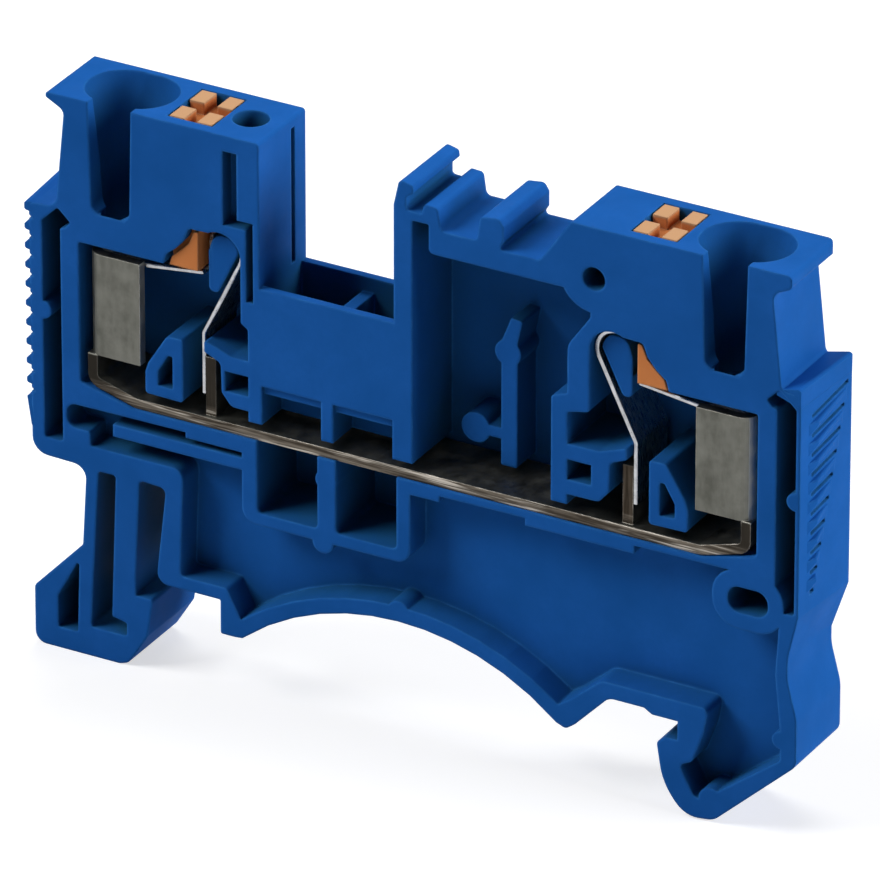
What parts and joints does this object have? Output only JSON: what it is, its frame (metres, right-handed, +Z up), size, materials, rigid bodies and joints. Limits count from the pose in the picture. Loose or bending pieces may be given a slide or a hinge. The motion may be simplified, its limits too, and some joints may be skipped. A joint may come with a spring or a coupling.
{
  "type": "feed-through terminal block",
  "caption": "Narrow moulded terminal block for a mounting rail, open on one side, with a current bar, push-in spring clamps, release buttons, bridge shaft and marker groove.",
  "frame": {"origin": "middle of the mounting rail, level with the rail's top face, halfway across the block", "axes": "+X along the block from the sprung foot to the hook, +Y across it from the open side to the closed side, +Z up from the rail"},
  "size_m": [0.0493, 0.0052, 0.0348],
  "materials": {
    "housing_blue": "satin moulded polyamide",
    "button_orange": "satin moulded polyamide",
    "tinned_copper": "dull tin plating",
    "spring_steel": "bright rolled stainless strip"
  },
  "bodies": {
    "housing": {"housing": "housing_blue", "current_bar": "tinned_copper", "left_spring": "spring_steel", "right_spring": "spring_steel"},
    "left_button": {"left_release_button": "button_orange"},
    "right_button": {"right_release_button": "button_orange"}
  },
  "joints": [
    {"name": "left_button_press", "type": "slide", "parent": "housing", "child": "left_button", "axis": [0, 0, -1], "range_m": [0, 0.0018], "stiffness_N_per_m": 1500, "deforming": ["left_spring"]},
    {"name": "right_button_press", "type": "slide", "parent": "housing", "child": "right_button", "axis": [0, 0, -1], "range_m": [0, 0.0018], "stiffness_N_per_m": 1500, "deforming": ["right_spring"]}
  ]
}
